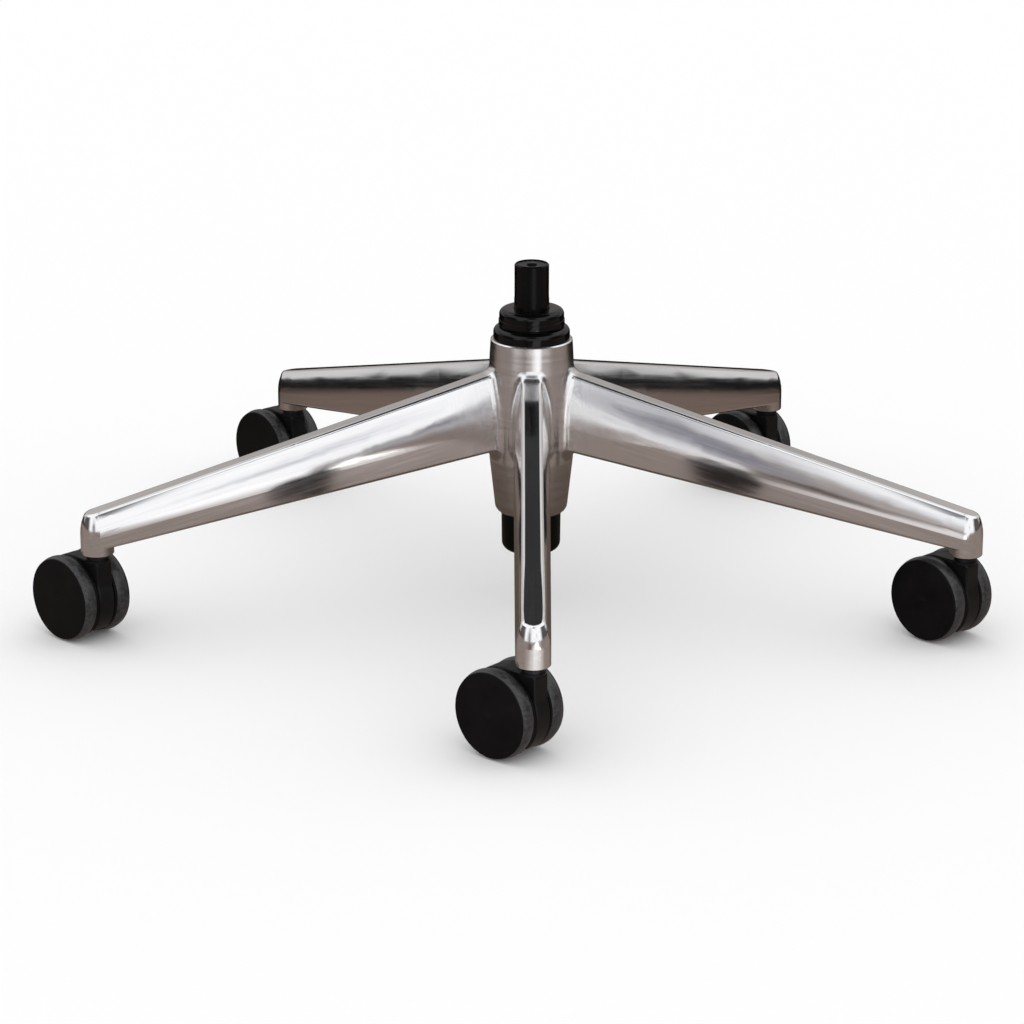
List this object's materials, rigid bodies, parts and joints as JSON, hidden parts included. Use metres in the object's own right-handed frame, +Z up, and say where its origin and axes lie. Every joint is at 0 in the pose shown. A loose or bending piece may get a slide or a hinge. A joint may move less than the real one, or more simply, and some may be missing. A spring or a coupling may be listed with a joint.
{
  "type": "office chair base",
  "caption": "Polished star-shaped chair base with a gas lift column, hub collar and soft-tread twin-wheel swivel casters.",
  "frame": {"origin": "on the floor, under the gas lift column's axis", "axes": "+Z up along the column; the front arm points along -Y, +X to the right seen from the front"},
  "size_m": [0.7561, 0.7247, 0.2788],
  "materials": {
    "polished_aluminium": "mirror polished",
    "black_enamel": "satin black",
    "satin_plastic": "satin",
    "bush_plastic": "matte",
    "bright_steel": "ground",
    "blued_steel": "blued",
    "piston_alloy": "turned",
    "stop_rubber": "matte",
    "caster_plastic": "satin",
    "wheel_plastic": "satin",
    "tread_rubber": "soft matte"
  },
  "bodies": {
    "base": {"star_base": "polished_aluminium", "standing_tube": "black_enamel", "guide_bush": "bush_plastic", "hub_ring": "satin_plastic", "collar": "satin_plastic", "lower_washer": "bright_steel", "ball_cage": "bush_plastic", "bearing_balls": "bright_steel", "stem_front": "blued_steel", "grip_ring_front": "bright_steel", "stem_right": "blued_steel", "grip_ring_right": "bright_steel", "stem_back_right": "blued_steel", "grip_ring_back_right": "bright_steel", "stem_back_left": "blued_steel", "grip_ring_back_left": "bright_steel", "stem_left": "blued_steel", "grip_ring_left": "bright_steel"},
    "spindle": {"upper_washer": "bright_steel", "bumper": "stop_rubber", "piston_rod": "bright_steel", "retaining_clip": "bright_steel", "piston": "piston_alloy", "piston_seal": "stop_rubber"},
    "column": {"pressure_tube": "black_enamel", "rod_guide": "bush_plastic", "valve_block": "blued_steel"},
    "button": {"release_button": "blued_steel"},
    "swivel_front": {"caster_body_front": "caster_plastic", "axle_front": "bright_steel"},
    "left_wheel_front": {"left_wheel_front": "wheel_plastic", "left_tread_front": "tread_rubber"},
    "right_wheel_front": {"right_wheel_front": "wheel_plastic", "right_tread_front": "tread_rubber"},
    "swivel_right": {"caster_body_right": "caster_plastic", "axle_right": "bright_steel"},
    "left_wheel_right": {"left_wheel_right": "wheel_plastic", "left_tread_right": "tread_rubber"},
    "right_wheel_right": {"right_wheel_right": "wheel_plastic", "right_tread_right": "tread_rubber"},
    "swivel_back_right": {"caster_body_back_right": "caster_plastic", "axle_back_right": "bright_steel"},
    "left_wheel_back_right": {"left_wheel_back_right": "wheel_plastic", "left_tread_back_right": "tread_rubber"},
    "right_wheel_back_right": {"right_wheel_back_right": "wheel_plastic", "right_tread_back_right": "tread_rubber"},
    "swivel_back_left": {"caster_body_back_left": "caster_plastic", "axle_back_left": "bright_steel"},
    "left_wheel_back_left": {"left_wheel_back_left": "wheel_plastic", "left_tread_back_left": "tread_rubber"},
    "right_wheel_back_left": {"right_wheel_back_left": "wheel_plastic", "right_tread_back_left": "tread_rubber"},
    "swivel_left": {"caster_body_left": "caster_plastic", "axle_left": "bright_steel"},
    "left_wheel_left": {"left_wheel_left": "wheel_plastic", "left_tread_left": "tread_rubber"},
    "right_wheel_left": {"right_wheel_left": "wheel_plastic", "right_tread_left": "tread_rubber"}
  },
  "joints": [
    {"name": "column_turn", "type": "hinge", "parent": "base", "child": "spindle", "pos_m": [0, 0, 0.0539], "axis": [0, 0, 1], "continuous": true},
    {"name": "column_lift", "type": "slide", "parent": "spindle", "child": "column", "axis": [0, 0, 1], "range_m": [0, 0.1]},
    {"name": "release_press", "type": "slide", "parent": "column", "child": "button", "axis": [0, 0, -1], "range_m": [0, 0.0025], "stiffness_N_per_m": 2000},
    {"name": "swivel_turn_front", "type": "hinge", "parent": "base", "child": "swivel_front", "pos_m": [0, -0.3565, 0.068], "axis": [0, 0, 1], "continuous": true},
    {"name": "left_spin_front", "type": "hinge", "parent": "swivel_front", "child": "left_wheel_front", "pos_m": [-0.01706, -0.34167, 0.034], "axis": [-0.6561, -0.7547, 0], "continuous": true},
    {"name": "right_spin_front", "type": "hinge", "parent": "swivel_front", "child": "right_wheel_front", "pos_m": [-0.01706, -0.34167, 0.034], "axis": [-0.6561, -0.7547, 0], "continuous": true},
    {"name": "swivel_turn_right", "type": "hinge", "parent": "base", "child": "swivel_right", "pos_m": [0.33905, -0.11016, 0.068], "axis": [0, 0, 1], "continuous": true},
    {"name": "left_spin_right", "type": "hinge", "parent": "swivel_right", "child": "left_wheel_right", "pos_m": [0.32335, -0.09391, 0.034], "axis": [-0.7193, -0.6947, 0], "continuous": true},
    {"name": "right_spin_right", "type": "hinge", "parent": "swivel_right", "child": "right_wheel_right", "pos_m": [0.32335, -0.09391, 0.034], "axis": [-0.7193, -0.6947, 0], "continuous": true},
    {"name": "swivel_turn_back_right", "type": "hinge", "parent": "base", "child": "swivel_back_right", "pos_m": [0.20955, 0.28841, 0.068], "axis": [0, 0, 1], "continuous": true},
    {"name": "left_spin_back_right", "type": "hinge", "parent": "swivel_back_right", "child": "left_wheel_back_right", "pos_m": [0.19385, 0.30467, 0.034], "axis": [-0.7193, -0.6947, 0], "continuous": true},
    {"name": "right_spin_back_right", "type": "hinge", "parent": "swivel_back_right", "child": "right_wheel_back_right", "pos_m": [0.19385, 0.30467, 0.034], "axis": [-0.7193, -0.6947, 0], "continuous": true},
    {"name": "swivel_turn_back_left", "type": "hinge", "parent": "base", "child": "swivel_back_left", "pos_m": [-0.20955, 0.28841, 0.068], "axis": [0, 0, 1], "continuous": true},
    {"name": "left_spin_back_left", "type": "hinge", "parent": "swivel_back_left", "child": "left_wheel_back_left", "pos_m": [-0.22437, 0.30547, 0.034], "axis": [-0.7547, -0.6561, 0], "continuous": true},
    {"name": "right_spin_back_left", "type": "hinge", "parent": "swivel_back_left", "child": "right_wheel_back_left", "pos_m": [-0.22437, 0.30547, 0.034], "axis": [-0.7547, -0.6561, 0], "continuous": true},
    {"name": "swivel_turn_left", "type": "hinge", "parent": "base", "child": "swivel_left", "pos_m": [-0.33905, -0.11016, 0.068], "axis": [0, 0, 1], "continuous": true},
    {"name": "left_spin_left", "type": "hinge", "parent": "swivel_left", "child": "left_wheel_left", "pos_m": [-0.35512, -0.09427, 0.034], "axis": [-0.7034, -0.7108, 0], "continuous": true},
    {"name": "right_spin_left", "type": "hinge", "parent": "swivel_left", "child": "right_wheel_left", "pos_m": [-0.35512, -0.09427, 0.034], "axis": [-0.7034, -0.7108, 0], "continuous": true}
  ]
}
